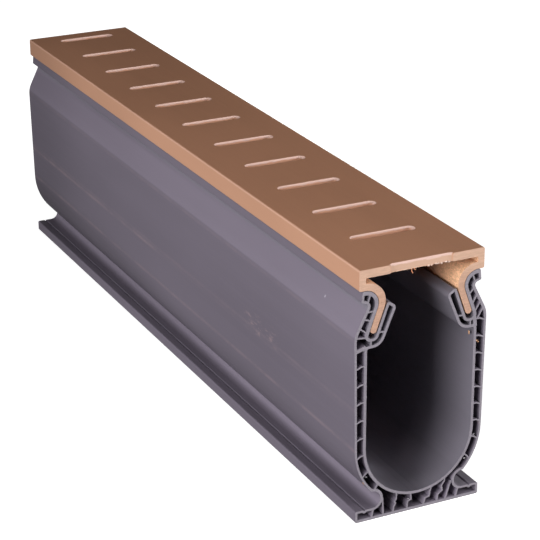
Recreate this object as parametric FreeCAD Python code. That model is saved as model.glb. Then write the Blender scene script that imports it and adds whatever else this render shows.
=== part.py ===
# Channel drain: one length of a twin-wall trough extrusion with its slotted cover.
#
# The trough is a deep U. Its wall is two thin skins held apart by webs, it stands on a flat hollow foot
# with a flange along each side, and its rims carry a rounded bulb and, inside it, a sloping pocket. The
# cover is a solid extrusion: a flat plate with cross slots, a lip down each side and two legs that bend
# over the bulbs and run down and outwards into the pockets. The splay of the legs keeps the cover from
# lifting, and it slides along the trough.
#
# Millimetres. +X across, +Y along the trough, +Z up. The origin is the middle of the foot's underside.

import FreeCAD, Part
import math
import os
from collections import namedtuple

# ---- overall ----
length = 305.0
cover_width = 46.0
seat_height = 82.4          # tops of the rim bulbs above the foot's underside

# ---- trough ----
body_overhang = 1.55        # side walls stand out past the cover's sides by this much, under the rims
floor_height = 6.8          # lowest point of the trough floor above the foot's underside
wall_top = 4.65             # side wall over both skins, under the rim
wall_floor = 4.05           # and round the floor
outer_skin = 0.8
inner_skin = 0.95
web = 0.5

# ---- foot ----
foot_width = 47.0
foot_height = 4.2
plate_skin = 1.05           # the foot's underside
foot_skin = 0.8
foot_edge_radius = 0.6
neck_width = 28.2           # across the foot's neck, between the two side grooves
neck_radius = 3.1           # of the half-round groove above each flange
neck_skin = 0.9
nail_line_depth = 0.45      # of the shallow V line along the middle of each flange

# ---- rim bulb and shoulder ----
bulb_radius = 4.75          # of the bulb's inner curve, which the cover's leg bends over
bulb_inset = 2.3            # centre of that curve inside the cover's side
bulb_face_inset = 0.9       # foot of the bulb's outer face inside the cover's side
bulb_draft = 0.35           # lean of that face towards the pocket
bulb_height = 3.7
bulb_edge_radius = 0.5
notch_depth = 2.8           # groove under the bulb, measured in from the bulb's outer face
notch_drop = 0.85           # fall of the bulb's underside towards the groove
notch_radius = 1.2
shoulder_drop = 15.0        # foot of the sloping shoulder below the seat
shoulder_radius = 9.0
shoulder_skin = 1.0
bulb_skin = 1.35

# ---- pocket and prong ----
leg_splay = 20.0            # degrees from the vertical
fit_gap = 0.2               # between the cover and the bulb, all along the bend and the leg
prong_gap = 0.55            # between the leg and the prong
tip_gap = 2.3               # free depth of the pocket under the leg's tip
pocket_radius = 1.1
pocket_skin = 1.15
prong_drop = 4.8            # top of the prong below the seat
prong_width = 3.75          # prong over both skins
prong_nose_radius = 1.6
prong_back_radius = 0.8
prong_splay = 22.5
prong_skin = 0.9
hook_drop = 20.0            # underside of the pocket's hook below the seat
hook_radius = 4.5
hook_root_radius = 0.8

# ---- cover ----
cover_thickness = 2.9
lip_height = 7.2
lip_thickness = 2.4
cover_edge_radius = 0.6
leg_root = 2.4              # thickness where the leg leaves the lip
leg_thickness = 2.15        # of the straight part
leg_bend_outer = 7.05       # radius of the leg's inward side
leg_straight = 8.6          # straight part beyond the bend
leg_tip_radius = 1.0
inside_corner_radius = 0.4

# ---- slots ----
slot_length = 23.6
slot_width = 3.5
slot_pitch = 26.9
slot_start = -0.95          # first slot's middle from the front end: the saw cut has opened this one
slot_edge_chamfer = 0.3
slot_gang = 6               # slots milled at one stroke
gang_shift = 0.6            # each next gang starts this much late
gang_drift = 0.15           # and each slot of a gang sits this much further right than the one before

# ---- webs ----
bulb_web_angle = 108.0      # degrees, from the bulb's groove to its top
prong_web_drop = 15.1
left_web_start = 20.0       # first web of the side wall, below the seat
left_web_pitch = 6.43
right_web_start = 17.9
right_web_pitch = 6.15
bend_web_pitch = 7.0        # round the bend to the floor, on both sides
bend_web_limit = 48.0       # degrees round the bend beyond which the floor webs take over
web_rise = 12.0             # degrees, from the outer skin up to the inner one
web_bow = 0.5               # the wall's webs are arched a little

# Each shoulder web: where it leaves the pocket's skin, below the seat, and the degrees it climbs outwards.
ShoulderWeb = namedtuple("ShoulderWeb", "drop lean")
shoulder_webs_left = (ShoulderWeb(7.3, -3.0), ShoulderWeb(10.4, 20.0), ShoulderWeb(14.3, 38.0),
                      ShoulderWeb(16.0, 6.0))
shoulder_webs_right = (ShoulderWeb(7.8, 45.0), ShoulderWeb(11.3, 60.0), ShoulderWeb(14.2, 57.0),
                       ShoulderWeb(16.9, 58.0))
root_web = 1.3              # the stout web where the side wall meets the pocket

# Each floor web: where it meets the trough floor, where it meets the foot plate, and its buckles on the
# way down as (share of its height, sideways shift).
FloorWeb = namedtuple("FloorWeb", "top_x foot_x buckles")
floor_webs = (
    FloorWeb(-8.0, -9.2, ((0.35, 0.35), (0.46, -0.25), (0.56, 0.4), (0.7, -0.1))),
    FloorWeb(-2.6, -3.8, ((0.42, 0.75), (0.5, -0.4), (0.68, -0.45))),
    FloorWeb(5.4, 2.3, ((0.3, 0.35), (0.55, 0.95), (0.6, -0.5), (0.75, -0.25))),
    FloorWeb(10.4, 7.7, ((0.15, 0.45), (0.36, -0.2), (0.55, 0.75), (0.62, 0.1), (0.7, -0.6))),
)
neck_web_left = (-13.3, -12.9)    # where it leaves the neck's skin and where it meets the foot plate
neck_web_right = (12.9, 10.8)
flange_web_left = (-16.7, -17.4)
flange_web_right = (15.7, 14.9)

# ---- worked out from the sizes above ----
LEFT = -1
RIGHT = 1
outer_top = cover_width / 2 + body_overhang
half_bore = outer_top - wall_top                     # the floor is a half circle of this radius
outer_floor = half_bore + wall_floor
bend_z = floor_height + half_bore                    # centre of the floor's half circle
lip_bottom = seat_height + fit_gap
cover_top = lip_bottom + lip_height
bulb_x = cover_width / 2 - bulb_inset                # centre of the bulb's inner curve
bulb_z = seat_height - bulb_radius
splay = math.radians(leg_splay)
down_leg = (math.sin(splay), -math.cos(splay))       # along the leg, on the right-hand side
away_leg = (-math.cos(splay), -math.sin(splay))      # from the bulb's side of the leg towards the prong

Corner = namedtuple("Corner", "x z radius skin")     # skin: wall along the edge to the next corner


# ---- plane geometry ----

def along(point, direction, distance):
    """The point that lies a distance from another in a direction."""
    return (point[0] + direction[0] * distance, point[1] + direction[1] * distance)


def at_height(point, direction, z):
    """Where the line through a point reaches a height."""
    return along(point, direction, (z - point[1]) / direction[1])


def crossing(p, u, q, v):
    """Where the line through p along u meets the line through q along v."""
    span = u[0] * v[1] - u[1] * v[0]
    return along(p, u, ((q[0] - p[0]) * v[1] - (q[1] - p[1]) * v[0]) / span)


def unit(p, q):
    """Direction from one point to another."""
    reach = math.hypot(q[0] - p[0], q[1] - p[1])
    return ((q[0] - p[0]) / reach, (q[1] - p[1]) / reach)


def mirrored(half, closing_skin):
    """The whole ring from its right-hand half, where the last edge closes it along the bottom."""
    ring = list(half)
    for k in reversed(range(len(half))):
        skin = half[k - 1].skin if k else closing_skin
        ring.append(Corner(-half[k].x, half[k].z, half[k].radius, skin))
    return ring


def vector(point):
    """A point of the section as a vector on the front end's plane."""
    return FreeCAD.Vector(point[0], -length / 2, point[1])


def ring_face(ring):
    """The face inside a ring of corners, each rounded by its own radius."""
    count = len(ring)
    turns = []
    for k, corner in enumerate(ring):
        here = (corner.x, corner.z)
        back = unit(here, (ring[k - 1].x, ring[k - 1].z))
        ahead = unit(here, (ring[(k + 1) % count].x, ring[(k + 1) % count].z))
        cosine = max(-1.0, min(1.0, back[0] * ahead[0] + back[1] * ahead[1]))
        half_angle = math.acos(cosine) / 2
        cut_back = corner.radius / math.tan(half_angle) if corner.radius else 0.0
        turns.append([here, back, ahead, half_angle, cut_back])
    for k in range(count):
        this, after = turns[k], turns[(k + 1) % count]
        edge = math.dist(this[0], after[0])
        if this[4] + after[4] > edge:                # a rounding is limited by its edge
            share = edge / (this[4] + after[4])
            this[4] *= share
            after[4] *= share
    edges = []
    ends = []
    for here, back, ahead, half_angle, cut_back in turns:
        start = along(here, back, cut_back)
        stop = along(here, ahead, cut_back)
        ends.append((start, stop))
        if cut_back > 1e-6:
            radius = cut_back * math.tan(half_angle)
            middle = unit(here, ((start[0] + stop[0]) / 2, (start[1] + stop[1]) / 2))
            crown = along(here, middle, radius / math.sin(half_angle) - radius)
            edges.append(Part.Arc(vector(start), vector(crown), vector(stop)).toShape())
    for k in range(count):
        stop = ends[k][1]
        start = ends[(k + 1) % count][0]
        if math.dist(stop, start) > 1e-6:
            edges.append(Part.LineSegment(vector(stop), vector(start)).toShape())
    return Part.Face(Part.Wire(Part.__sortEdges__(edges)))


def inset(ring):
    """The ring inside a counter-clockwise ring, each edge moved in by its own skin."""
    moved = []
    for k, corner in enumerate(ring):
        after = ring[(k + 1) % len(ring)]
        direction = unit((corner.x, corner.z), (after.x, after.z))
        inward = (-direction[1], direction[0])
        moved.append((along((corner.x, corner.z), inward, corner.skin), direction))
    inner = []
    for k, corner in enumerate(ring):
        x, z = crossing(*moved[k - 1], *moved[k])
        before, after = moved[k - 1][1], moved[k][1]
        convex = before[0] * after[1] - before[1] * after[0] > 0
        skin = (ring[k - 1].skin + corner.skin) / 2
        radius = max(corner.radius - skin, 0.0) if convex else corner.radius + skin
        inner.append(Corner(x, z, radius, 0.0))
    return inner


def ribbon(points, thickness):
    """A strip of one thickness along a line of points, mitred at its bends."""
    sides = []
    for sign in (1, -1):
        side = []
        for k, point in enumerate(points):
            back = unit(points[max(k - 1, 0)], points[max(k, 1)])
            ahead = unit(points[min(k, len(points) - 2)], points[min(k + 1, len(points) - 1)])
            mitre = unit((0, 0), (-back[1] - ahead[1], back[0] + ahead[0]))
            reach = thickness / 2 / (mitre[0] * -back[1] + mitre[1] * back[0])
            side.append(along(point, mitre, sign * reach))
        sides.append(side)
    outline = sides[0] + sides[1][::-1]
    return Part.Face(Part.makePolygon([vector(p) for p in outline + outline[:1]]))


def arch(middle, direction, reach):
    """A web through both skins, arched upwards at its middle."""
    crown = (middle[0], middle[1] + web_bow)
    return ribbon([along(middle, direction, -reach), crown, along(middle, direction, reach)], web)


# ---- cover ----

def leg_corner(offset, z):
    """Where a line beside the leg, offset from the bulb's curve, reaches a height."""
    tangent = along((bulb_x, bulb_z), away_leg, bulb_radius)
    return at_height(along(tangent, away_leg, offset), down_leg, z)


def leg_tip(offset):
    """The leg's end on a line beside it, square across the leg."""
    tangent = along((bulb_x, bulb_z), away_leg, bulb_radius)
    return along(along(tangent, away_leg, offset), down_leg, leg_straight)


def cover_ring():
    """The cover's section: plate, lips and the two bent legs."""
    side = cover_width / 2
    cavity_floor = lip_bottom + leg_root
    cavity_side = side - lip_thickness
    plate_bottom = cover_top - cover_thickness
    near, far = fit_gap, fit_gap + leg_thickness
    half = [
        Corner(*leg_corner(near, lip_bottom), bulb_radius + fit_gap, 0.0),
        Corner(side, lip_bottom, cover_edge_radius, 0.0),
        Corner(side, cover_top, cover_edge_radius, 0.0),
    ]
    inner_half = [
        Corner(cavity_side, plate_bottom, inside_corner_radius, 0.0),
        Corner(cavity_side, cavity_floor, inside_corner_radius, 0.0),
        Corner(*leg_corner(far, cavity_floor), leg_bend_outer, 0.0),
        Corner(*leg_tip(far), leg_tip_radius, 0.0),
        Corner(*leg_tip(near), leg_tip_radius, 0.0),
    ]
    left = [Corner(-c.x, c.z, c.radius, 0.0) for c in reversed(half)]
    left_inner = [Corner(-c.x, c.z, c.radius, 0.0) for c in reversed(inner_half)]
    return half + left + left_inner + inner_half


def slot_cutter(x, y):
    """One round-ended slot across the cover, with its middle at a place."""
    straight = slot_length - slot_width
    depth = 2 * cover_thickness
    body = Part.makeBox(straight, slot_width, depth,
                        FreeCAD.Vector(x - straight / 2, y - slot_width / 2, cover_top - depth))
    for side in (LEFT, RIGHT):
        end = FreeCAD.Vector(x + side * straight / 2, y, cover_top - depth)
        body = body.fuse(Part.makeCylinder(slot_width / 2, depth, end))
    return body.removeSplitter()


def is_slot_rim(edge):
    """Whether an edge runs round a slot's mouth in the top face."""
    box = edge.BoundBox
    flat = box.ZMin > cover_top - 1e-4
    inside = max(abs(box.XMin), abs(box.XMax)) < slot_length / 2 + slot_gang * gang_drift
    across_end = box.YLength < 1e-6 and abs(abs(box.YMin) - length / 2) < 1e-6
    return flat and inside and not across_end


def make_cover():
    """The slotted cover."""
    cover = ring_face(cover_ring()).extrude(FreeCAD.Vector(0, length, 0))
    slots = []
    for k in range(math.ceil((length - slot_start) / slot_pitch)):
        gang, place = divmod(k, slot_gang)
        x = (place - (slot_gang - 1) / 2) * gang_drift
        y = slot_start + k * slot_pitch + gang * gang_shift
        if y + slot_width / 2 + slot_edge_chamfer < length:
            slots.append(slot_cutter(x, y - length / 2))
    cover = cover.cut(Part.makeCompound(slots))
    rims = [edge for edge in cover.Edges if is_slot_rim(edge)]
    return cover.makeChamfer(slot_edge_chamfer, rims)


# ---- trough ----

def foot_corners():
    """The foot's right-hand side, from its underside to the point where the body starts."""
    side = foot_width / 2
    neck = neck_width / 2
    nail_line = (neck + neck_radius + side - foot_edge_radius) / 2
    groove_top = foot_height + 2 * neck_radius
    fall = math.asin((bend_z - groove_top) / outer_floor)
    cusp = (outer_floor * math.cos(fall), groove_top)
    shoulder = (outer_top, seat_height - shoulder_drop)
    side_line = unit((outer_floor, bend_z), shoulder)
    belly = crossing(cusp, (math.sin(fall), math.cos(fall)), shoulder, side_line)
    return [
        Corner(side, 0.0, foot_edge_radius, foot_skin),
        Corner(side, foot_height, foot_edge_radius, foot_skin),
        Corner(nail_line + nail_line_depth, foot_height, 0.0, foot_skin),
        Corner(nail_line, foot_height - nail_line_depth, 0.0, foot_skin),
        Corner(nail_line - nail_line_depth, foot_height, 0.0, foot_skin),
        Corner(neck, foot_height, neck_radius, neck_skin),
        Corner(neck, groove_top, neck_radius, neck_skin),
        Corner(*cusp, 0.0, outer_skin),
        Corner(*belly, outer_floor, outer_skin),
    ]


def head_corners():
    """The right-hand rim, from the shoulder over the bulb, round the pocket and back to the wall."""
    face_x = cover_width / 2 - bulb_face_inset
    underside = seat_height - bulb_height
    pocket_side = leg_corner(0.0, seat_height)
    near, far = 0.0, fit_gap + leg_thickness + prong_gap
    pocket_floor = leg_tip(near)[1] - tip_gap
    prong_top = seat_height - prong_drop
    prong_back = leg_corner(far, prong_top)
    slope = math.radians(prong_splay)
    down_prong = (math.sin(slope), -math.cos(slope))
    nose = along(along(prong_back, away_leg, prong_width), down_leg, prong_nose_radius / 2)
    hook_bottom = seat_height - hook_drop
    return [
        Corner(outer_top, seat_height - shoulder_drop, shoulder_radius, shoulder_skin),
        Corner(face_x - notch_depth, underside - notch_drop, notch_radius, outer_skin),
        Corner(face_x, underside, bulb_edge_radius, outer_skin),
        Corner(face_x - bulb_draft, seat_height, bulb_edge_radius, bulb_skin),
        Corner(*pocket_side, bulb_radius, pocket_skin),
        Corner(*leg_corner(near, pocket_floor), pocket_radius, prong_skin),
        Corner(*leg_corner(far, pocket_floor), pocket_radius, prong_skin),
        Corner(*prong_back, prong_back_radius, prong_skin),
        Corner(*nose, prong_nose_radius, prong_skin),
        Corner(*at_height(nose, down_prong, hook_bottom), hook_radius, inner_skin),
        Corner(half_bore, hook_bottom, hook_root_radius, inner_skin),
        Corner(half_bore, floor_height, half_bore, inner_skin),
    ]


def floor_web(layout):
    """One buckled web between the trough floor and the foot plate."""
    top_z = bend_z - math.sqrt((half_bore + inner_skin / 2) ** 2 - layout.top_x ** 2)
    top = (layout.top_x, top_z)
    foot = (layout.foot_x, plate_skin / 2)
    points = [top]
    for share, shift in layout.buckles:
        x, z = along(top, unit(top, foot), share * math.dist(top, foot))
        points.append((x + shift, z))
    return ribbon(points + [foot], web)


def side_webs(side, start, pitch):
    """Webs across one side wall, at even steps down it and then round the bend towards the floor."""
    middle = half_bore + wall_floor / 2
    webs = []
    travel = bend_z + start - seat_height            # along the wall, from where the bend starts
    while travel < math.radians(bend_web_limit) * middle:
        angle = max(travel, 0.0) / middle
        centre = (side * middle * math.cos(angle), bend_z - min(travel, 0.0) - middle * math.sin(angle))
        slope = angle + math.radians(web_rise)
        webs.append(arch(centre, (side * math.cos(slope), -math.sin(slope)), (wall_top + web) / 2))
        travel += pitch if travel < 0 else bend_web_pitch
    return webs


def head_webs(side, shoulder_webs):
    """Webs inside one rim: in the bulb, across the shoulder, under the pocket and across the prong."""
    groove = (cover_width / 2 - bulb_face_inset - notch_depth + notch_radius / 2,
              seat_height - bulb_height - notch_drop)
    lean = math.radians(bulb_web_angle)
    webs = [[groove, along(groove, (math.cos(lean), math.sin(lean)), bulb_radius)]]
    for drop, lean in shoulder_webs:
        climb = (math.cos(math.radians(lean)), math.sin(math.radians(lean)))
        skin = leg_corner(-pocket_skin, seat_height - drop)
        webs.append([along(skin, climb, -web), along(skin, climb, wall_top)])
    pocket_middle = (fit_gap + leg_thickness + prong_gap) / 2
    pocket_floor = leg_tip(0.0)[1] - tip_gap
    webs.append([leg_corner(pocket_middle, pocket_floor),
                 (leg_corner(pocket_middle, pocket_floor)[0], seat_height - hook_drop)])
    back = leg_corner(2 * pocket_middle, seat_height - prong_web_drop)
    webs.append([back, (back[0] - prong_width * 1.5, back[1])])
    return [ribbon([(side * x, z) for x, z in line], web) for line in webs]


def root_webs():
    """The stout web over each side wall: out to the shoulder on the left, up to the pocket on the right."""
    root = (half_bore + inner_skin / 2, seat_height - hook_drop)
    pocket = leg_corner(-pocket_skin / 2, leg_tip(0.0)[1])
    left = [(-root[0], root[1] + root_web / 2), (-outer_top, root[1] - root_web / 2)]
    return [ribbon([root, pocket], root_web), ribbon(left, root_web)]


def foot_webs():
    """Webs between the trough floor, the neck, the flanges and the foot plate."""
    webs = [floor_web(layout) for layout in floor_webs]
    plate = plate_skin / 2
    neck_z = foot_height + neck_radius
    for top_x, foot_x in (neck_web_left, neck_web_right):
        webs.append(ribbon([(top_x, neck_z), (foot_x, plate)], web))
    for top_x, foot_x in (flange_web_left, flange_web_right):
        webs.append(ribbon([(top_x, foot_height - foot_skin / 2), (foot_x, plate)], web))
    return webs


def make_channel():
    """The channel: its outline less the cells that the webs leave between the skins."""
    ring = mirrored(foot_corners() + head_corners(), plate_skin)
    webs = foot_webs()
    webs += side_webs(LEFT, left_web_start, left_web_pitch)
    webs += side_webs(RIGHT, right_web_start, right_web_pitch)
    webs += head_webs(LEFT, shoulder_webs_left) + head_webs(RIGHT, shoulder_webs_right) + root_webs()
    cells = ring_face(inset(ring)).cut(webs)
    section = ring_face(ring).cut(cells)
    return section.Faces[0].extrude(FreeCAD.Vector(0, length, 0))


os.makedirs("parts", exist_ok=True)
for name, shape in (("channel", make_channel()), ("cover", make_cover())):
    shape.exportStep(f"parts/{name}.step")
    print(name, len(shape.Solids), "solids", round(shape.Volume / 1000, 2), "cm3", shape.isValid())
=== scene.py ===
"""The looks of a channel drain: a twin-wall trough on a flanged foot, and its slotted cover.

Both pieces are extrusions, so every finish runs along the length and breaks only at the sawn ends and at the
milled slots. What the saw left behind is modelled: a ragged burr under the slot that it opened, a curl of
swarf beside it, burrs on the webs and chips caught in the cells.

Sizes are in metres in the part's own frame: X across, Y along the trough, Z up from the foot's underside. The
front end has the lowest Y, and the middle of the length is at zero.
"""

import logging
import math
import random
from contextlib import contextmanager
from dataclasses import dataclass
from enum import Enum
from typing import Dict, Iterator, List, Optional, Sequence, Tuple, Union

import bpy
from mathutils import Matrix, Vector


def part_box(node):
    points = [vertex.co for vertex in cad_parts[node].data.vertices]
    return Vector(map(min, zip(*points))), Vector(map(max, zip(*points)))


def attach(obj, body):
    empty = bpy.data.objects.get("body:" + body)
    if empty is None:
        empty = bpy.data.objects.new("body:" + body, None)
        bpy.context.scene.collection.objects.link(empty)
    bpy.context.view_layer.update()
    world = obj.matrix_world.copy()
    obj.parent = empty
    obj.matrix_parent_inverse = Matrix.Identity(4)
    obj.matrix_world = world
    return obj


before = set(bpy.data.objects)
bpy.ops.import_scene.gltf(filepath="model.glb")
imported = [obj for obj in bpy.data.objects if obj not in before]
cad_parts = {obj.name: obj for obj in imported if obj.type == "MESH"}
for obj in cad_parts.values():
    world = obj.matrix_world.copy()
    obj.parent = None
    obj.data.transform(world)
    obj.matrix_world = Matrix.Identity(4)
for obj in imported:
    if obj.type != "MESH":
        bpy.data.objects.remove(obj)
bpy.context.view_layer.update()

MM = 0.001
SPECULAR = 0.35

Triple = Tuple[float, float, float]
Colour = Tuple[float, float, float]
Socket = bpy.types.NodeSocket
Value = Union[float, Sequence[float], Socket]

log = logging.getLogger("channel_drain")


class Blend(Enum):
    """How a second colour is laid over the first."""

    MIX = "MIX"
    MULTIPLY = "MULTIPLY"


class Body(Enum):
    """The moving bodies of the frame."""

    CHANNEL = "channel"
    COVER = "cover"


@dataclass(frozen=True)
class Section:
    """Places on the section that the finishes and the small pieces are set from.

    Attributes:
        front: Y of the front end.
        top: height of the cover's top face.
        side: half width of the cover.
        plate: thickness of the cover's plate.
        lip: thickness of the cover's side.
        slot: half length of a slot.
        bore: radius of the trough's round floor, and its half width above it.
        floor: height of the floor's lowest point.
        neck: distance from the middle past which the foot's skin is an outer one.
    """

    front: float
    top: float
    side: float
    plate: float = 2.9 * MM
    lip: float = 2.4 * MM
    slot: float = 11.8 * MM
    bore: float = 19.9 * MM
    floor: float = 6.8 * MM
    neck: float = 13.3 * MM

    @property
    def half_length(self) -> float:
        """Distance of both sawn ends from the middle."""
        return -self.front

    @property
    def plate_bottom(self) -> float:
        """Height of the plate's underside."""
        return self.top - self.plate

    @property
    def bend(self) -> float:
        """Height of the centre of the round floor."""
        return self.floor + self.bore


def tinted(colour: Colour, share: float) -> Colour:
    """A colour made lighter or darker by a factor."""
    return tuple(share * channel for channel in colour)


def direction(azimuth: float, elevation: float) -> Vector:
    """The way from the piece out to a lamp or to the camera.

    Args:
        azimuth: degrees round the piece, 0 in front of it and 90 on its right.
        elevation: degrees above the level.

    Returns:
        A vector one metre long.
    """
    turn = math.radians(azimuth)
    rise = math.radians(elevation)
    return Vector((math.sin(turn) * math.cos(rise), -math.cos(turn) * math.cos(rise), math.sin(rise)))


# ---- finishes ----


class Finish:
    """A material under construction, with short calls for the nodes that the finishes share."""

    def __init__(self, name: str) -> None:
        """Starts an empty material.

        Args:
            name: the material's name.
        """
        self.material = bpy.data.materials.new(name)
        self.material.use_nodes = True
        self.tree = self.material.node_tree
        self.tree.nodes.clear()
        self.output = self.tree.nodes.new("ShaderNodeOutputMaterial")

    def plug(self, socket: Socket, value: Value) -> None:
        """Links a socket to another, or sets its value.

        Args:
            socket: the input.
            value: an output socket, a number or a list of numbers.
        """
        if isinstance(value, bpy.types.NodeSocket):
            self.tree.links.new(value, socket)
        elif isinstance(value, (int, float)):
            socket.default_value = float(value)
        else:
            numbers = list(value)
            if len(socket.default_value) == 4 and len(numbers) == 3:
                numbers.append(1.0)
            socket.default_value = numbers

    def node(self, kind: str, settings: Optional[Dict[str, str]] = None, **inputs: Value) -> bpy.types.Node:
        """Adds a node.

        Args:
            kind: the node's type without its ShaderNode prefix.
            settings: the node's own options.
            **inputs: its inputs, by name, with _ for a space.

        Returns:
            The node.
        """
        made = self.tree.nodes.new("ShaderNode" + kind)
        for key, value in (settings or {}).items():
            setattr(made, key, value)
        for key, value in inputs.items():
            self.plug(made.inputs[key.replace("_", " ")], value)
        return made

    def math(self, operation: str, *values: Value) -> Socket:
        """A sum on numbers.

        Args:
            operation: the operation's name.
            *values: its one to three inputs.

        Returns:
            The result.
        """
        made = self.node("Math", {"operation": operation})
        for socket, value in zip(made.inputs, values):
            self.plug(socket, value)
        return made.outputs[0]

    def product(self, *values: Value) -> Socket:
        """Several masks at once: the product of numbers.

        Args:
            *values: the numbers.

        Returns:
            Their product.
        """
        result = values[0]
        for value in values[1:]:
            result = self.math("MULTIPLY", result, value)
        return result

    def total(self, *values: Value) -> Socket:
        """Several tones at once: the total of numbers.

        Args:
            *values: the numbers.

        Returns:
            Their total.
        """
        result = values[0]
        for value in values[1:]:
            result = self.math("ADD", result, value)
        return result

    def ramp(self, value: Value, low: float, high: float, start: Value = 0.0, end: Value = 1.0) -> Socket:
        """A smooth step from start at low to end at high.

        Args:
            value: what is measured.
            low: where the step starts.
            high: where it ends.
            start: the result below low.
            end: the result above high.

        Returns:
            The stepped value.
        """
        made = self.node("MapRange", {"interpolation_type": "SMOOTHSTEP"})
        keys = ("Value", "From Min", "From Max", "To Min", "To Max")
        for key, number in zip(keys, (value, low, high, start, end)):
            self.plug(made.inputs[key], number)
        return made.outputs[0]

    def until(self, value: Value, low: float, high: float) -> Socket:
        """A smooth step down, from 1 at low to 0 at high."""
        return self.ramp(value, low, high, 1.0, 0.0)

    def within(self, value: Socket, middle: float, reach: float, edge: float) -> Socket:
        """A soft band: 1 up to reach on both sides of its middle, and 0 past its edge."""
        off = self.math("ABSOLUTE", self.math("SUBTRACT", value, middle))
        return self.until(off, reach, reach + edge)

    def mix(self, share: Value, first: Value, second: Value, blend: Blend = Blend.MIX) -> Socket:
        """Lays one colour over another.

        Args:
            share: how much of the second shows.
            first: the colour below.
            second: the colour above.
            blend: how they meet.

        Returns:
            The colour.
        """
        made = self.node("Mix", {"data_type": "RGBA", "blend_type": blend.value})
        self.plug(made.inputs[0], share)
        self.plug(made.inputs[6], first)
        self.plug(made.inputs[7], second)
        return made.outputs[2]

    def shade(self, colour: Value, factor: Socket) -> Socket:
        """A colour made lighter or darker by a pattern."""
        factors = self.node("CombineXYZ", X=factor, Y=factor, Z=factor).outputs[0]
        return self.mix(1.0, colour, factors, Blend.MULTIPLY)

    def noise(self, stretch: Triple, detail: float = 3.0, roughness: float = 0.5) -> Socket:
        """A cloudy pattern on the piece's own place.

        Args:
            stretch: clouds per metre along X, Y and Z.
            detail: octaves.
            roughness: how strong the fine octaves are.

        Returns:
            The pattern, about 0 to 1.
        """
        place = self.node("TexCoord").outputs["Object"]
        place = self.node("Mapping", {"vector_type": "POINT"}, Vector=place, Scale=stretch).outputs[0]
        clouds = self.node("TexNoise", Vector=place, Scale=1.0, Detail=detail, Roughness=roughness)
        return clouds.outputs["Fac"]

    def axis(self, name: str) -> Socket:
        """The X, Y or Z of the place on the piece."""
        place = self.node("TexCoord").outputs["Object"]
        return self.node("SeparateXYZ", Vector=place).outputs[name]

    def off_middle(self, name: str) -> Socket:
        """How far the place is from the middle of the piece, along X or Y."""
        return self.math("ABSOLUTE", self.axis(name))

    def facing(self, name: str) -> Socket:
        """How far the surface faces along an axis, whichever way: 0 across it to 1 along it."""
        normal = self.node("NewGeometry").outputs["True Normal"]
        return self.math("ABSOLUTE", self.node("SeparateXYZ", Vector=normal).outputs[name])

    def painted_light_along(self) -> Socket:
        """Painted light on the sides: none at the front, most past the middle, and painted shade at the back
        end.

        Returns:
            What it adds to the sides' brightness.
        """
        along = self.axis("Y")
        # painted light rising towards the middle of the length, and painted shade falling at the back end
        rise = self.ramp(along, -100.0 * MM, 40.0 * MM, 0.0, 0.14)
        fall = self.ramp(along, 75.0 * MM, 145.0 * MM, 0.0, -0.24)
        return self.total(rise, fall)

    def bump(self, height: Value, depth: float, below: Optional[Socket] = None) -> Socket:
        """Relief from a pattern.

        Args:
            height: the pattern, 0 to 1.
            depth: its depth in metres.
            below: a relief that this one lies on.

        Returns:
            The normal.
        """
        made = self.node("Bump", Strength=1.0, Distance=depth, Height=height)
        if below is not None:
            self.plug(made.inputs["Normal"], below)
        return made.outputs[0]

    def close(self, colour: Value, roughness: Value, normal: Value) -> bpy.types.Material:
        """Ends the material with its surface.

        Args:
            colour: the base colour.
            roughness: the roughness.
            normal: the relief.

        Returns:
            The finished material.
        """
        surface = self.node("BsdfPrincipled")
        self.plug(surface.inputs["Base Color"], colour)
        self.plug(surface.inputs["Roughness"], roughness)
        self.plug(surface.inputs["Normal"], normal)
        self.plug(surface.inputs["Specular IOR Level"], SPECULAR)
        self.tree.links.new(surface.outputs[0], self.output.inputs[0])
        return self.material


@dataclass(frozen=True)
class Cells:
    """A row of cells in the foot.

    Attributes:
        ends: distances from the middle between which the painted light on the cells' skins ends.
        height: of the row's middle.
        half: half the row's height.
    """

    ends: Tuple[float, float]
    height: float
    half: float


@dataclass(frozen=True)
class RubLine:
    """A line rubbed along the outside of the trough.

    Attributes:
        height: its height.
        start: Y where it fades in.
        share: how strongly it shows.
    """

    height: float
    start: float
    share: float


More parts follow.
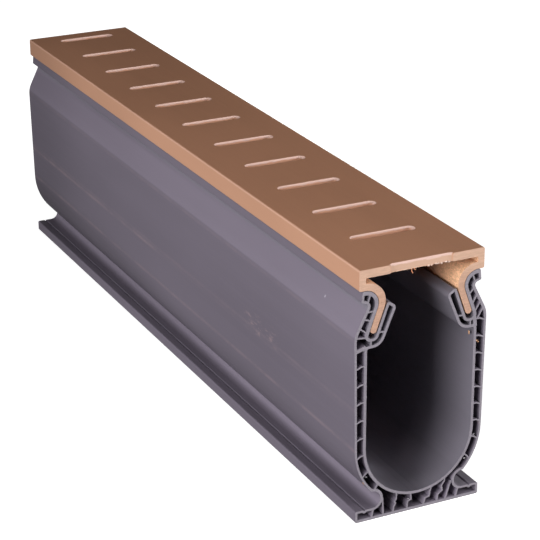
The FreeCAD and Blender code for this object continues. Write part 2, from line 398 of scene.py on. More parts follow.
@dataclass(frozen=True)
class GreyPlastic:
    """The trough's satin grey PVC, with die lines, rubbed lines, scuffs and paler sawn ends, and painted
    light and shade on its skin.

    Attributes:
        section: places on the section.
        skin: colour of the extruded skin.
        bore: colour of the skin inside the trough.
        sawn: colour of a sawn end.
        rub: colour of the rubbed lines and scuffs.
        bruise: colour of the nick.
        outer: distance from the middle past which the wall's skin is an outer one.
        shoulder: heights between which the outer skin gets a painted sheen.
        groove: height of the middle of the painted highlight in the groove above the flange.
        foot_cells: the rows of cells in the foot, whose skins get painted light.
        rub_lines: the rubbed lines.
        scuff: middle of the scuffed patch, as Y and Z.
        nick: place of a small pale nick, as Y and Z.
    """

    section: Section
    skin: Colour = (0.156, 0.135, 0.171)
    bore: Colour = (0.156, 0.144, 0.172)
    sawn: Colour = (0.235, 0.212, 0.245)
    rub: Colour = (0.40, 0.29, 0.30)
    bruise: Colour = (0.62, 0.58, 0.66)
    outer: float = 20.8 * MM
    shoulder: Tuple[float, float] = (66.4 * MM, 78.2 * MM)
    groove: float = 6.5 * MM
    foot_cells: Tuple[Cells, ...] = (
        Cells((22.4 * MM, 22.7 * MM), 2.2 * MM, 1.1 * MM),
        Cells((12.4 * MM, 12.8 * MM), 4.6 * MM, 1.3 * MM),
    )
    rub_lines: Tuple[RubLine, ...] = (
        RubLine(39.7 * MM, 5.0 * MM, 0.26),
        RubLine(26.7 * MM, -165.0 * MM, 0.20),
        RubLine(41.2 * MM, -165.0 * MM, 0.10),
        RubLine(65.8 * MM, -165.0 * MM, 0.09),
    )
    scuff: Tuple[float, float] = (-83.0 * MM, 43.0 * MM)
    nick: Tuple[float, float] = (-128.0 * MM, 72.0 * MM)

    def painted_cell_light(self, f: Finish, across: Socket, height: Socket) -> Socket:
        """Painted light on the skins of the cells in the foot.

        Args:
            f: the material.
            across: distance from the middle.
            height: height above the foot's underside.

        Returns:
            What they add to the brightness.
        """
        # painted light: the cells' skins are made paler, as bounced light would leave them
        rows = []
        for cells in self.foot_cells:
            level = f.within(height, cells.height, cells.half, 0.1 * MM)
            rows.append(f.product(f.until(across, *cells.ends), level))
        found = rows[0]
        for row in rows[1:]:
            found = f.math("MAXIMUM", found, row)
        return f.product(found, 0.5)

    def painted_shoulder_sheen(self, f: Finish, across: Socket, height: Socket) -> Socket:
        """Painted sheen on the shoulder, with a trace of it on the rim above.

        Args:
            f: the material.
            across: distance from the middle.
            height: height above the foot's underside.

        Returns:
            What it adds to the brightness.
        """
        low, high = self.shoulder
        # painted sheen: the shoulder is made lighter than the wall below, where the light falls on it
        outside = f.ramp(across, 18.4 * MM, 18.9 * MM)
        above = f.ramp(height, low, low + 0.9 * MM)
        strength = f.ramp(height, high - 0.6 * MM, high + 0.4 * MM, 0.30, 0.04)
        return f.product(outside, above, strength)

    def painted_foot_light_shade(self, f: Finish, across: Socket, height: Socket) -> Socket:
        """Painted light and shade on the outside of the foot: painted light on low faces that turn sideways
        and painted shade on those that face up, a painted highlight in the groove, and painted shade on the
        wall above, growing to the back.

        Args:
            f: the material.
            across: distance from the middle.
            height: height above the foot's underside.

        Returns:
            What it adds to the brightness.
        """
        low = f.until(height, 11.0 * MM, 15.5 * MM)
        # painted light on low faces that turn sideways, painted shade on the flange's upward faces
        flange = f.product(low, f.ramp(f.facing("Z"), 0.5, 1.0, 0.12, -0.18))
        # painted highlight along the groove
        painted_groove_highlight = f.product(f.within(height, self.groove, 0.8 * MM, 1.9 * MM), 0.34)
        # painted shade on the lower wall, growing towards the back
        to_back = f.ramp(f.axis("Y"), -30.0 * MM, 100.0 * MM, 0.0, -0.25)
        painted_back_shade = f.product(f.within(height, 17.0 * MM, 5.0 * MM, 9.0 * MM), to_back)
        outside = f.ramp(across, self.section.neck - 0.4 * MM, self.section.neck)
        return f.product(f.total(flange, painted_groove_highlight, painted_back_shade), outside)

    def painted_floor_light_shade(self, f: Finish, across: Socket, height: Socket) -> Socket:
        """Painted light and shade on the trough's floor and what is below it: near the front, painted shade
        on the left that turns to slight painted light on the right, and painted light deeper in.

        Args:
            f: the material.
            across: distance from the middle.
            height: height above the foot's underside.

        Returns:
            What it adds to the brightness.
        """
        front, floor, neck = self.section.front, self.section.floor, self.section.neck
        # near the front end, painted shade on the left and slight painted light on the right; painted light
        # deeper in the trough
        front_painted_shade_by_side = f.ramp(f.axis("X"), -3.0 * MM, 9.0 * MM, -0.45, 0.1)
        painted_light_shade_by_depth = f.ramp(f.axis("Y"), front + 8.0 * MM, front + 24.0 * MM, front_painted_shade_by_side, 0.6)
        low = f.until(height, floor, floor + 6.7 * MM)
        inside = f.until(across, neck - 0.4 * MM, neck + 1.2 * MM)
        return f.product(low, inside, painted_light_shade_by_depth)

    def painted_light_factor(self, f: Finish, across: Socket, height: Socket) -> Socket:
        """The painted light and shade on the skin, by its place on the section.

        Args:
            f: the material.
            across: distance from the middle.
            height: height above the foot's underside.

        Returns:
            The factor.
        """
        # painted light and shade: each term below stands in for how the lamps fall on the section
        painted_shoulder_sheen = self.painted_shoulder_sheen(f, across, height)
        painted_light_along = f.product(f.ramp(across, self.outer - 0.4 * MM, self.outer), f.painted_light_along())
        foot = self.painted_foot_light_shade(f, across, height)
        floor = self.painted_floor_light_shade(f, across, height)
        return f.total(1.0, painted_shoulder_sheen, painted_light_along, foot, floor, self.painted_cell_light(f, across, height))

    def skin_colour(self, f: Finish) -> Socket:
        """The extruded skin's colour, outside and inside, with painted light and shade.

        Args:
            f: the material.

        Returns:
            The colour.
        """
        across = f.off_middle("X")
        height = f.axis("Z")
        drop = f.math("MINIMUM", f.math("SUBTRACT", height, self.section.bend), 0.0)
        reach = f.math("SQRT", f.total(f.product(across, across), f.product(drop, drop)))
        inside = f.until(reach, self.section.bore + 0.1 * MM, self.section.bore + 0.4 * MM)
        return f.shade(f.mix(inside, self.skin, self.bore), self.painted_light_factor(f, across, height))

    def rubbed(self, f: Finish, colour: Socket) -> Socket:
        """Rubbed lines and a scuffed patch on the walls.

        Args:
            f: the material.
            colour: the colour below them.

        Returns:
            The rubbed colour.
        """
        height = f.axis("Z")
        along = f.axis("Y")
        walls = f.ramp(f.off_middle("X"), 22.3 * MM, 22.8 * MM)
        broken = f.ramp(f.noise((0.0, 60.0, 120.0), detail=5.0, roughness=0.75), 0.38, 0.62, 0.2, 1.0)
        for line in self.rub_lines:
            run = f.ramp(along, line.start, line.start + 12.0 * MM, 0.15, 1.0)
            near = f.within(height, line.height, 0.2 * MM, 0.8 * MM)
            colour = f.mix(f.product(near, walls, broken, run, line.share), colour, self.rub)
        y, z = self.scuff
        patch = f.product(f.within(along, y, 7.0 * MM, 9.0 * MM), f.within(height, z, 1.8 * MM, 3.5 * MM))
        scrape = f.ramp(f.noise((600.0, 260.0, 900.0), detail=4.0, roughness=0.7), 0.51, 0.66, 0.0, 0.4)
        return f.mix(f.product(patch, walls, scrape), colour, self.rub)

    def nicked(self, f: Finish, colour: Socket) -> Socket:
        """A small pale nick on the outside of the shoulder.

        Args:
            f: the material.
            colour: the colour below it.

        Returns:
            The nicked colour.
        """
        y, z = self.nick
        along = f.within(f.axis("Y"), y, 0.2 * MM, 0.3 * MM)
        level = f.within(f.axis("Z"), z, 0.2 * MM, 0.3 * MM)
        outside = f.ramp(f.off_middle("X"), 19.5 * MM, 20.0 * MM)
        return f.mix(f.product(along, level, outside, 0.45), colour, self.bruise)

    def sawn_colour(self, f: Finish) -> Socket:
        """The sawn ends' colour: fine saw marks and pale specks.

        Args:
            f: the material.

        Returns:
            The colour.
        """
        saw = f.noise((260.0, 260.0, 1900.0))
        colour = f.mix(saw, tinted(self.sawn, 0.82), tinted(self.sawn, 1.18))
        specks = f.ramp(f.noise((900.0, 900.0, 900.0), detail=2.0), 0.5, 0.75, 0.0, 0.35)
        return f.mix(specks, colour, tinted(self.sawn, 1.45))

    def make(self) -> bpy.types.Material:
        """Builds the material.

        Returns:
            The material.
        """
        f = Finish("grey_plastic")
        cut = f.ramp(f.facing("Y"), 0.6, 0.85)
        streak = f.noise((900.0, 5.0, 900.0), detail=4.0, roughness=0.65)
        cloud = f.noise((18.0, 7.0, 30.0))
        colour = f.shade(self.skin_colour(f), f.ramp(cloud, 0.3, 0.7, 0.94, 1.05))
        colour = f.mix(f.ramp(streak, 0.35, 0.7, 0.0, 0.14), colour, tinted(self.skin, 1.25))
        colour = self.nicked(f, self.rubbed(f, colour))
        colour = f.mix(cut, colour, self.sawn_colour(f))
        relief = f.bump(streak, 0.03 * MM)
        relief = f.bump(f.noise((2600.0, 700.0, 2600.0), detail=2.0), 0.01 * MM, relief)
        roughness = f.total(f.ramp(cloud, 0.3, 0.7, 0.40, 0.47), f.product(cut, 0.2))
        return f.close(colour, roughness, relief)


@dataclass(frozen=True)
class TanPlastic:
    """The cover's sandy tan PVC, mottled where it is sawn and pale where it is milled, with painted
    highlights round the slots and along the sides' top edges and a painted sheen on the sides.

    Attributes:
        section: places on the section.
        skin: colour of the extruded skin.
        flank: colour of the skin on the cover's sides, paler than the top with a painted sheen.
        sand: colour of the grainy skin inside the cover, near the front end.
        sawn: colour of a sawn end.
        fleck: colour of the dark flecks in it.
        leg_tint: what the sawn legs are toned down by.
        milled: colour of a slot's wall.
        rim: colour of the painted highlight round a slot's mouth and on a slot's ends.
        arris: colour of the painted highlight on the rounded edge along the top of each side.
    """

    section: Section
    skin: Colour = (0.49, 0.243, 0.146)
    flank: Colour = (0.50, 0.27, 0.175)
    sand: Colour = (0.84, 0.49, 0.29)
    sawn: Colour = (0.56, 0.355, 0.255)
    fleck: Colour = (0.34, 0.17, 0.10)
    leg_tint: Colour = (0.89, 0.84, 0.83)
    milled: Colour = (0.68, 0.36, 0.235)
    rim: Colour = (0.70, 0.48, 0.41)
    arris: Colour = (0.80, 0.52, 0.40)

    def skin_colour(self, f: Finish) -> Socket:
        """The extruded skin's colour on the top, with a painted sheen and painted light on the sides and a
        painted highlight on the edge between them.

        Args:
            f: the material.

        Returns:
            The colour.
        """
        top, side = self.section.top, self.section.side
        # painted sheen: the sides get a paler colour than the top, with painted light along the length
        sideways = f.ramp(f.facing("X"), 0.4, 0.8)
        colour = f.mix(sideways, self.skin, f.shade(self.flank, f.total(1.0, f.painted_light_along())))
        # painted highlight on the rounded edge between the top and each side
        high = f.ramp(f.axis("Z"), top - 0.75 * MM, top - 0.45 * MM)
        outermost = f.ramp(f.off_middle("X"), side - 0.5 * MM, side - 0.2 * MM)
        return f.mix(f.product(high, outermost, 0.35), colour, self.arris)

    def inside(self, f: Finish) -> Socket:
        """The legs and the inner faces of the sides.

        Args:
            f: the material.

        Returns:
            1 on them to 0 elsewhere.
        """
        wall = self.section.side - self.section.lip
        under = self.section.plate_bottom
        between = f.until(f.off_middle("X"), wall - 0.1 * MM, wall + 0.2 * MM)
        return f.product(between, f.until(f.axis("Z"), under - 0.2 * MM, under))

    def slot_walls(self, f: Finish, height: Socket) -> Socket:
        """The walls of the slots in the plate.

        Args:
            f: the material.
            height: height above the foot's underside.

        Returns:
            1 on them to 0 elsewhere.
        """
        end, reach, under = self.section.half_length, self.section.slot, self.section.plate_bottom
        steep = f.until(f.facing("Z"), 0.80, 0.92)
        near = f.until(f.off_middle("X"), reach + 0.6 * MM, reach + 0.8 * MM)
        short_of_end = f.until(f.off_middle("Y"), end - 0.5 * MM, end - 0.3 * MM)
        return f.product(steep, near, short_of_end, f.ramp(height, under - 0.2 * MM, under))

    def slotted(self, f: Finish, colour: Socket) -> Socket:
        """Colours the slots' walls and paints highlights round their mouths and on their ends.

        Args:
            f: the material.
            colour: the colour of the skin.

        Returns:
            The colour.
        """
        front = self.section.front
        height = f.axis("Z")
        # painted highlight round each slot's mouth, of uneven width, and on the slots' ends
        uneven = f.noise((220.0, 220.0, 0.0), detail=3.0, roughness=0.6)
        depth = f.math("SUBTRACT", self.section.top, height)
        edge = f.ramp(uneven, 0.3, 0.7, 0.55 * MM, 1.05 * MM)
        pale = f.until(f.math("DIVIDE", depth, edge), 0.7, 1.2)
        pale = f.math("MAXIMUM", pale, f.ramp(f.facing("X"), 0.6, 0.95, 0.0, 0.8))
        past_opened = f.ramp(f.axis("Y"), front + 1.0 * MM, front + 1.4 * MM)
        wall = f.mix(pale, f.mix(past_opened, self.sawn, self.milled), self.rim)
        return f.mix(self.slot_walls(f, height), colour, wall)

    def sawn_colour(self, f: Finish) -> Socket:
        """The sawn ends' colour: saw marks and dark flecks, toned down on the legs.

        Args:
            f: the material.

        Returns:
            The colour.
        """
        under = self.section.plate_bottom
        saw = f.noise((300.0, 300.0, 2200.0), detail=4.0, roughness=0.6)
        colour = f.mix(f.ramp(saw, 0.3, 0.7), tinted(self.sawn, 0.9), tinted(self.sawn, 1.08))
        flecks = f.ramp(f.noise((1100.0, 1100.0, 2600.0), detail=2.0), 0.64, 0.76, 0.0, 0.5)
        colour = f.mix(flecks, colour, self.fleck)
        legs = f.until(f.axis("Z"), under - 9.0 * MM, under - 2.0 * MM)
        return f.mix(legs, colour, self.leg_tint, Blend.MULTIPLY)

    def make(self) -> bpy.types.Material:
        """Builds the material.

        Returns:
            The material.
        """
        f = Finish("tan_plastic")
        front, end = self.section.front, self.section.half_length
        at_end = f.ramp(f.off_middle("Y"), end - 0.3 * MM, end - 0.1 * MM)
        cut = f.product(f.ramp(f.facing("Y"), 0.5, 0.8), at_end)
        streak = f.noise((700.0, 6.0, 700.0), detail=4.0, roughness=0.6)
        cloud = f.noise((25.0, 9.0, 25.0))
        colour = f.shade(self.skin_colour(f), f.ramp(cloud, 0.3, 0.7, 0.95, 1.05))
        colour = f.mix(f.ramp(streak, 0.4, 0.75, 0.0, 0.12), colour, tinted(self.skin, 1.2))
        grit = f.noise((1500.0, 900.0, 1500.0), detail=4.0, roughness=0.7)
        sandy = f.mix(f.ramp(grit, 0.35, 0.65), tinted(self.sand, 0.72), tinted(self.sand, 1.15))
        inside = self.inside(f)
        near_cut = f.until(f.axis("Y"), front + 4.0 * MM, front + 20.0 * MM)
        colour = f.mix(f.product(inside, near_cut), colour, sandy)
        colour = self.slotted(f, colour)
        colour = f.mix(cut, colour, self.sawn_colour(f))
        relief = f.bump(streak, 0.02 * MM)
        relief = f.bump(f.noise((2600.0, 600.0, 2600.0), detail=2.0), 0.012 * MM, relief)
        relief = f.bump(f.product(grit, inside), 0.12 * MM, relief)
        roughness = f.total(f.ramp(cloud, 0.3, 0.7, 0.42, 0.5), f.product(cut, 0.25))
        return f.close(colour, roughness, relief)


@dataclass(frozen=True)
class Shaving:
    """Torn plastic: burrs, chips and swarf, pale where it is stretched thin.

    Attributes:
        name: the material's name.
        base: its main colour.
        torn: its colour where it is stretched.
    """

    name: str
    base: Colour
    torn: Colour

    def make(self) -> bpy.types.Material:
        """Builds the material.

        Returns:
            The material.
        """
        f = Finish(self.name)
        tear = f.noise((1300.0, 1300.0, 1300.0), detail=4.0, roughness=0.65)
        colour = f.mix(f.ramp(tear, 0.38, 0.62), self.base, self.torn)
        relief = f.bump(f.noise((3500.0, 3500.0, 3500.0)), 0.03 * MM)
        return f.close(colour, f.ramp(tear, 0.3, 0.7, 0.45, 0.65), relief)


# ---- modelling ----


@contextmanager
def editing() -> Iterator[None]:
    """Edit mode on the active piece with all of it selected, then object mode again.

    Yields:
        Nothing.
    """
    bpy.ops.object.mode_set(mode="EDIT")
    bpy.ops.mesh.select_all(action="SELECT")
    yield
    bpy.ops.object.mode_set(mode="OBJECT")


def join(pieces: List[bpy.types.Object], name: str) -> bpy.types.Object:
    """Makes one piece of several.

    Args:
        pieces: the pieces.
        name: the new piece's name.

    Returns:
        The joined piece, at the origin, unturned and unscaled.
    """
    bpy.ops.object.select_all(action="DESELECT")
    for piece in pieces:
        piece.select_set(True)
    bpy.context.view_layer.objects.active = pieces[0]
    bpy.ops.object.join()
    bpy.ops.object.transform_apply(location=True, rotation=True, scale=True)
    piece = bpy.context.object
    piece.name = name
    piece.data.name = name
    return piece


def flake(place: Vector, size: Triple, seed: int) -> bpy.types.Object:
    """An irregular crumb of plastic.

    Args:
        place: its middle.
        size: its length along X, Y and Z.
        seed: picks its shape.

    Returns:
        The crumb.
    """
    bpy.ops.object.select_all(action="DESELECT")
    bpy.ops.mesh.primitive_ico_sphere_add(subdivisions=3, radius=0.5)
    with editing():
        bpy.ops.transform.vertex_random(offset=0.09, uniform=0.0, normal=1.0, seed=seed)
        bpy.ops.mesh.vertices_smooth(factor=0.4, repeat=1)
        bpy.ops.transform.resize(value=size, center_override=(0.0, 0.0, 0.0))
    bpy.ops.object.shade_smooth()
    crumb = bpy.context.object
    crumb.location = place
    return crumb


@dataclass
class SawBurr:
    """The row of pale beads that the saw pulled out under the slot it opened.

    Attributes:
        section: places on the section.
        beads: how many.
        reach: X of the first and of the last.
        size: their usual width.
        flatness: their height as a share of it.
        depth: their size along the trough.
        behind: how far behind the front end they sit.
    """

    section: Section
    beads: int = 8
    reach: Tuple[float, float] = (2.6 * MM, 11.2 * MM)
    size: float = 1.05 * MM
    flatness: float = 0.62
    depth: float = 0.7 * MM
    behind: float = 0.85 * MM

    def build(self) -> bpy.types.Object:
        """Models the beads.

        Returns:
            The burr.
        """
        chance = random.Random(4)
        first, last = self.reach
        beads = []
        for k in range(self.beads):
            x = first + (last - first) * (k + chance.uniform(-0.2, 0.2)) / (self.beads - 1)
            drop = chance.uniform(-0.15, 0.12) * MM
            width = self.size * chance.uniform(0.7, 1.2)
            place = Vector((x, self.section.front + self.behind, self.section.plate_bottom + drop))
            beads.append(flake(place, (width, self.depth, self.flatness * self.size), k))
        return join(beads, "saw_burr")


@dataclass
class EdgeRag:
    """The thin torn edge along the rest of the opened slot's underside.

    Attributes:
        section: places on the section.
        tears: how many tears.
        reach: X of the first and of the last.
        depth: their size along the trough.
        behind: how far behind the front end they hang.
    """

    section: Section
    tears: int = 26
    reach: Tuple[float, float] = (-11.4 * MM, 2.4 * MM)
    depth: float = 0.3 * MM
    behind: float = 0.85 * MM

    def build(self) -> bpy.types.Object:
        """Models the torn edge.

        Returns:
            The edge.
        """
        chance = random.Random(9)
        first, last = self.reach
        rags = []
        for k in range(self.tears):
            x = first + (last - first) * k / (self.tears - 1)
            width = chance.uniform(0.5, 1.0) * MM
            hang = chance.uniform(0.12, 0.42) * MM
            place = Vector((x, self.section.front + self.behind, self.section.plate_bottom + 0.05 * MM))
            rags.append(flake(place, (width, self.depth, hang), 40 + k))
        return join(rags, "torn_edge")


@dataclass
class Swarf:
    """A curl of swarf that hangs from the opened slot, in two strands.

    Attributes:
        section: places on the section.
        across: X of its root.
        behind: how far behind the front end its root is.
        thickness: of a strand.
        apart: between the two strands' roots.
    """

    section: Section
    across: float = -3.6 * MM
    behind: float = 0.95 * MM
    thickness: float = 0.36 * MM
    apart: float = 0.8 * MM

    def strand(self, root: Vector, radius: float, turn: float, lean: float) -> bpy.types.Object:
        """One bent strand, spun from a small round profile.

        Args:
            root: where it leaves the cover.
            radius: of its bend.
            turn: degrees that it bends through.
            lean: degrees that it is tilted by about its root.

        Returns:
            The strand.
        """
        bend, tilt = math.radians(turn), math.radians(lean)
        origin = (0.0, 0.0, 0.0)
        bpy.ops.object.select_all(action="DESELECT")
        bpy.ops.mesh.primitive_circle_add(vertices=10, radius=self.thickness / 2, fill_type="NGON")
        with editing():
            bpy.ops.mesh.spin(steps=14, angle=bend, center=(radius, 0.0, 0.0), axis=(0.0, 1.0, 0.0))
            bpy.ops.mesh.select_all(action="SELECT")
            bpy.ops.transform.rotate(value=tilt, orient_axis="Y", center_override=origin)
            bpy.ops.mesh.normals_make_consistent(inside=False)
        bpy.ops.object.shade_smooth()
        strand = bpy.context.object
        strand.location = root
        return strand

    def build(self) -> bpy.types.Object:
        """Models the curl.

        Returns:
            The curl.
        """
        root = Vector((self.across, self.section.front + self.behind, self.section.plate_bottom + 0.1 * MM))
        beside = root + Vector((self.apart, 0.0, 0.0))
        strands = [self.strand(root, 2.0 * MM, 56.0, -12.0), self.strand(beside, 1.1 * MM, 55.0, 10.0)]
        return join(strands, "swarf_curl")


@dataclass(frozen=True)
class Crumb:
    """Where a crumb of plastic sits on the section and how big it is, in millimetres.

    Attributes:
        x: across.
        z: height.
        size: its length along X, Y and Z.
        behind: how far behind the front end its middle is.
    """

    x: float
    z: float
    size: Triple
    behind: float = 0.6


@dataclass
class Crumbs:
    """Crumbs that the saw left on the section.

    Attributes:
        name: the piece's name.
        section: places on the section.
        crumbs: where they are.
    """

    name: str
    section: Section
    crumbs: Sequence[Crumb]

    def build(self) -> bpy.types.Object:
        """Models the crumbs.

        Returns:
            The crumbs, as one piece.
        """
        made = []
        for k, crumb in enumerate(self.crumbs):
            place = Vector((crumb.x * MM, self.section.front + crumb.behind * MM, crumb.z * MM))
            size = tuple(MM * length for length in crumb.size)
            made.append(flake(place, size, 90 + k))
        return join(made, self.name)


# ---- dressing ----


def dress(node: str, material: bpy.types.Material) -> None:
    """Gives a node of the frame its material.

    Args:
        node: the node's name.
        material: what it is made of.
    """
    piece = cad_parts[node]
    piece.data.materials.clear()
    piece.data.materials.append(material)
    log.info("%s: %d faces, %s", node, len(piece.data.polygons), material.name)


def mount(piece: bpy.types.Object, body: Body, material: bpy.types.Material) -> None:
    """Gives a new piece its material and sets it on a body.

    Args:
        piece: the piece, in its place.
        body: what it moves with.
        material: what it is made of.
    """
    piece.data.materials.clear()
    piece.data.materials.append(material)
    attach(piece, body.value)
    log.info("%s: %d faces on %s, %s", piece.name, len(piece.data.polygons), body.value, material.name)


@dataclass
class Trough:
    """The trough and what the saw left on its end.

    Attributes:
        section: places on the section.
        burrs: the ragged spots on the sawn webs and skins.
        chips: the chips that are caught in the cells and on the rim.
    """

    section: Section
    burrs: Sequence[Crumb] = (
        Crumb(-22.2, 36.9, (1.0, 0.5, 0.5), 0.35),
        Crumb(-21.6, 30.6, (0.8, 0.5, 0.6), 0.35),
        Crumb(-19.5, 16.2, (0.8, 0.5, 0.5), 0.35),
        Crumb(-19.8, 45.2, (0.35, 0.5, 1.0), 0.35),
        Crumb(-21.0, 62.0, (1.2, 0.5, 0.7), 0.35),
        Crumb(21.4, 22.6, (0.9, 0.5, 0.5), 0.35),
        Crumb(18.0, 14.4, (0.7, 0.5, 0.5), 0.35),
        Crumb(9.6, 5.2, (0.7, 0.5, 0.6), 0.35),
        Crumb(4.8, 4.0, (0.6, 0.5, 0.5), 0.35),
        Crumb(-3.4, 4.2, (0.7, 0.5, 0.4), 0.35),
    )
    chips: Sequence[Crumb] = (
        Crumb(21.2, 56.9, (1.1, 0.8, 0.7)),
        Crumb(22.0, 56.3, (0.6, 0.5, 0.5)),
        Crumb(18.9, 60.0, (0.25, 0.9, 1.5), 1.4),
        Crumb(-20.4, 14.2, (0.35, 0.5, 0.9)),
        Crumb(-20.0, 13.6, (0.3, 0.4, 0.4)),
        Crumb(13.4, 75.9, (0.5, 0.6, 0.9), 0.9),
    )

    def dress(self) -> None:
        """Gives the trough its finish and adds the burrs and the chips."""
        dress("channel", GreyPlastic(self.section).make())
        torn = Shaving("grey_burr", (0.24, 0.22, 0.25), (0.48, 0.45, 0.47)).make()
        mount(Crumbs("web_burrs", self.section, self.burrs).build(), Body.CHANNEL, torn)
        chip = Shaving("tan_chip", (0.50, 0.25, 0.12), (0.72, 0.45, 0.28)).make()
        mount(Crumbs("caught_chips", self.section, self.chips).build(), Body.CHANNEL, chip)


@dataclass
class SlottedCover:
    """The cover and the torn plastic of the slot that the saw opened.

    Attributes:
        section: places on the section.
    """

    section: Section

    def dress(self) -> None:
        """Gives the cover its finish and adds the burr, the torn edge and the curl of swarf."""
        dress("cover", TanPlastic(self.section).make())
        pale = Shaving("pale_burr", (0.52, 0.34, 0.25), (0.68, 0.53, 0.46)).make()
        mount(SawBurr(self.section).build(), Body.COVER, pale)
        tan = Shaving("torn_tan", (0.55, 0.32, 0.20), (0.70, 0.50, 0.38)).make()
        mount(EdgeRag(self.section).build(), Body.COVER, tan)
        curl = Shaving("swarf", (0.46, 0.16, 0.07), (0.66, 0.33, 0.2)).make()
        mount(Swarf(self.section).build(), Body.COVER, curl)


# ---- studio ----


@dataclass(frozen=True)
class Lamp:
    """A square soft lamp.

    Attributes:
        name: the lamp's name.
        azimuth: degrees round the piece, 0 in front of it and 90 on its right.
        elevation: degrees above what it points at.
        distance: from what it points at.
        size: the length of its side.
        power: watts.
    """

    name: str
    azimuth: float
    elevation: float
    distance: float
    size: float
    power: float

    def hang(self, aim: Vector) -> None:
        """Adds the lamp to the scene.

        Args:
            aim: what it points at.
        """
        data = bpy.data.lights.new(self.name, "AREA")
        data.shape = "SQUARE"
        data.size = self.size
        data.energy = self.power
        ray = direction(self.azimuth, self.elevation)
        place = Matrix.Translation(aim + self.distance * ray)
        lamp = bpy.data.objects.new(self.name, data)
        lamp.matrix_world = place @ (-ray).to_track_quat("-Z", "Y").to_matrix().to_4x4()
        bpy.context.scene.collection.objects.link(lamp)


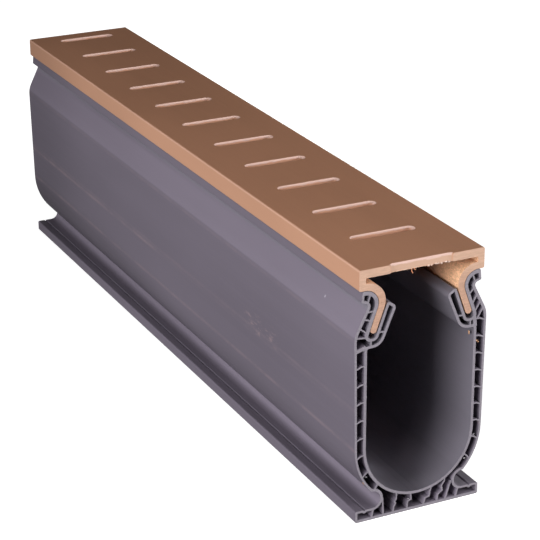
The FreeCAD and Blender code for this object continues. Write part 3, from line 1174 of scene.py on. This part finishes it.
@dataclass
class Studio:
    """A plain pale floor, soft lamps and the camera.

    Attributes:
        front_top: middle of the cover's front top edge, which the camera is placed from.
        azimuth: degrees round the piece to the camera, 0 in front of it and 90 on its right.
        elevation: degrees that the camera looks down by.
        roll: degrees that it is rolled by.
        lens: focal length in millimetres.
        film: width of the film in millimetres.
        station: the camera's place from front_top.
        floor_side: the length of the floor's side.
        gap: between the floor and the foot.
        near_white: how brightly the floor shows under the piece, without the lamps.
        fade: distances from the middle between which it turns fully white.
        matt: how much of the lamps' light the floor throws back to the camera.
        bounce: how brightly the floor itself lights the piece.
        fill: how brightly the surroundings light it.
        aim: what the lamps point at, near the front end.
        lamps: the lamps.
    """

    front_top: Vector
    azimuth: float = -25.9796
    elevation: float = 22.0933
    roll: float = -0.3734
    lens: float = 131.0
    film: float = 36.0
    station: Triple = (-0.297557, -0.499526, 0.2317)
    floor_side: float = 8.0
    gap: float = 0.2 * MM
    near_white: float = 0.84
    fade: Tuple[float, float] = (0.1, 0.5)
    matt: float = 0.6
    bounce: float = 0.092
    fill: float = 0.008
    aim: Triple = (0.0, -0.12, 0.05)
    lamps: Sequence[Lamp] = (
        Lamp("low_left", -71.0, 6.0, 0.74, 0.40, 6.25),
        Lamp("high_left", -62.0, 42.0, 0.62, 0.30, 1.3),
        Lamp("low_right", 28.0, 8.0, 1.1, 0.45, 6.5),
        Lamp("far_right", 55.0, 20.0, 1.1, 0.45, 8.1),
        Lamp("behind", 150.0, 0.0, 0.6, 0.08, 0.6),
    )

    def hang_camera(self) -> None:
        """Adds the camera."""
        turn, roll = math.radians(self.azimuth), math.radians(self.roll)
        back = direction(self.azimuth, self.elevation)
        level = Vector((math.cos(turn), math.sin(turn), 0.0))
        upright = back.cross(level)
        right = level * math.cos(roll) + upright * math.sin(roll)
        up = upright * math.cos(roll) - level * math.sin(roll)
        data = bpy.data.cameras.new("camera")
        data.lens = self.lens
        data.sensor_width = self.film
        data.clip_end = 50.0
        camera = bpy.data.objects.new("camera", data)
        place = Matrix.Translation(self.front_top + Vector(self.station))
        camera.matrix_world = place @ Matrix((right, up, back)).transposed().to_4x4()
        bpy.context.scene.collection.objects.link(camera)
        bpy.context.scene.camera = camera

    def lay_floor(self) -> None:
        """Adds the floor, which shows white and keeps the shadow."""
        bpy.ops.object.select_all(action="DESELECT")
        bpy.ops.mesh.primitive_plane_add(size=self.floor_side, location=(0.0, 0.0, -self.gap))
        floor = bpy.context.object
        floor.name = "floor"
        f = Finish("floor")
        eye = f.node("LightPath").outputs["Is Camera Ray"]
        place = f.node("TexCoord").outputs["Object"]
        reach = f.node("VectorMath", {"operation": "LENGTH"}, Vector=place).outputs["Value"]
        white = f.ramp(reach, *self.fade, self.near_white, 1.0)
        seen = f.product(eye, f.math("SUBTRACT", white, self.bounce))
        thrown = f.mix(eye, (0.0, 0.0, 0.0), (self.matt, self.matt, self.matt))
        matt = f.node("BsdfDiffuse", Color=thrown)
        glow = f.node("Emission", Color=(1.0, 1.0, 1.0), Strength=f.total(seen, self.bounce))
        both = f.node("AddShader")
        f.tree.links.new(matt.outputs[0], both.inputs[0])
        f.tree.links.new(glow.outputs[0], both.inputs[1])
        f.tree.links.new(both.outputs[0], f.output.inputs[0])
        floor.data.materials.append(f.material)

    def paint_world(self) -> None:
        """Sets the white surroundings and their weak light."""
        world = bpy.data.worlds.new("studio")
        bpy.context.scene.world = world
        world.use_nodes = True
        tree = world.node_tree
        tree.nodes.clear()
        out = tree.nodes.new("ShaderNodeOutputWorld")
        path = tree.nodes.new("ShaderNodeLightPath")
        swap = tree.nodes.new("ShaderNodeMixShader")
        tree.links.new(path.outputs["Is Camera Ray"], swap.inputs[0])
        for socket, strength in ((swap.inputs[1], self.fill), (swap.inputs[2], 1.0)):
            backdrop = tree.nodes.new("ShaderNodeBackground")
            backdrop.inputs["Color"].default_value = (1.0, 1.0, 1.0, 1.0)
            backdrop.inputs["Strength"].default_value = strength
            tree.links.new(backdrop.outputs[0], socket)
        tree.links.new(swap.outputs[0], out.inputs[0])

    def build(self) -> None:
        """Sets up the floor, the surroundings, the lamps and the camera."""
        self.lay_floor()
        self.paint_world()
        for lamp in self.lamps:
            lamp.hang(Vector(self.aim))
        self.hang_camera()
        log.info("studio: %d lamps", len(self.lamps))


def main() -> None:
    """Builds and dresses the drain, then sets up the studio."""
    logging.basicConfig(level=logging.INFO, format="%(message)s")
    bpy.context.scene.view_settings.view_transform = "Standard"
    low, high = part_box("cover")
    section = Section(front=low.y, top=high.z, side=high.x)
    Trough(section).dress()
    SlottedCover(section).dress()
    Studio(front_top=Vector(((low.x + high.x) / 2, low.y, high.z))).build()


if __name__ == "__main__":
    main()
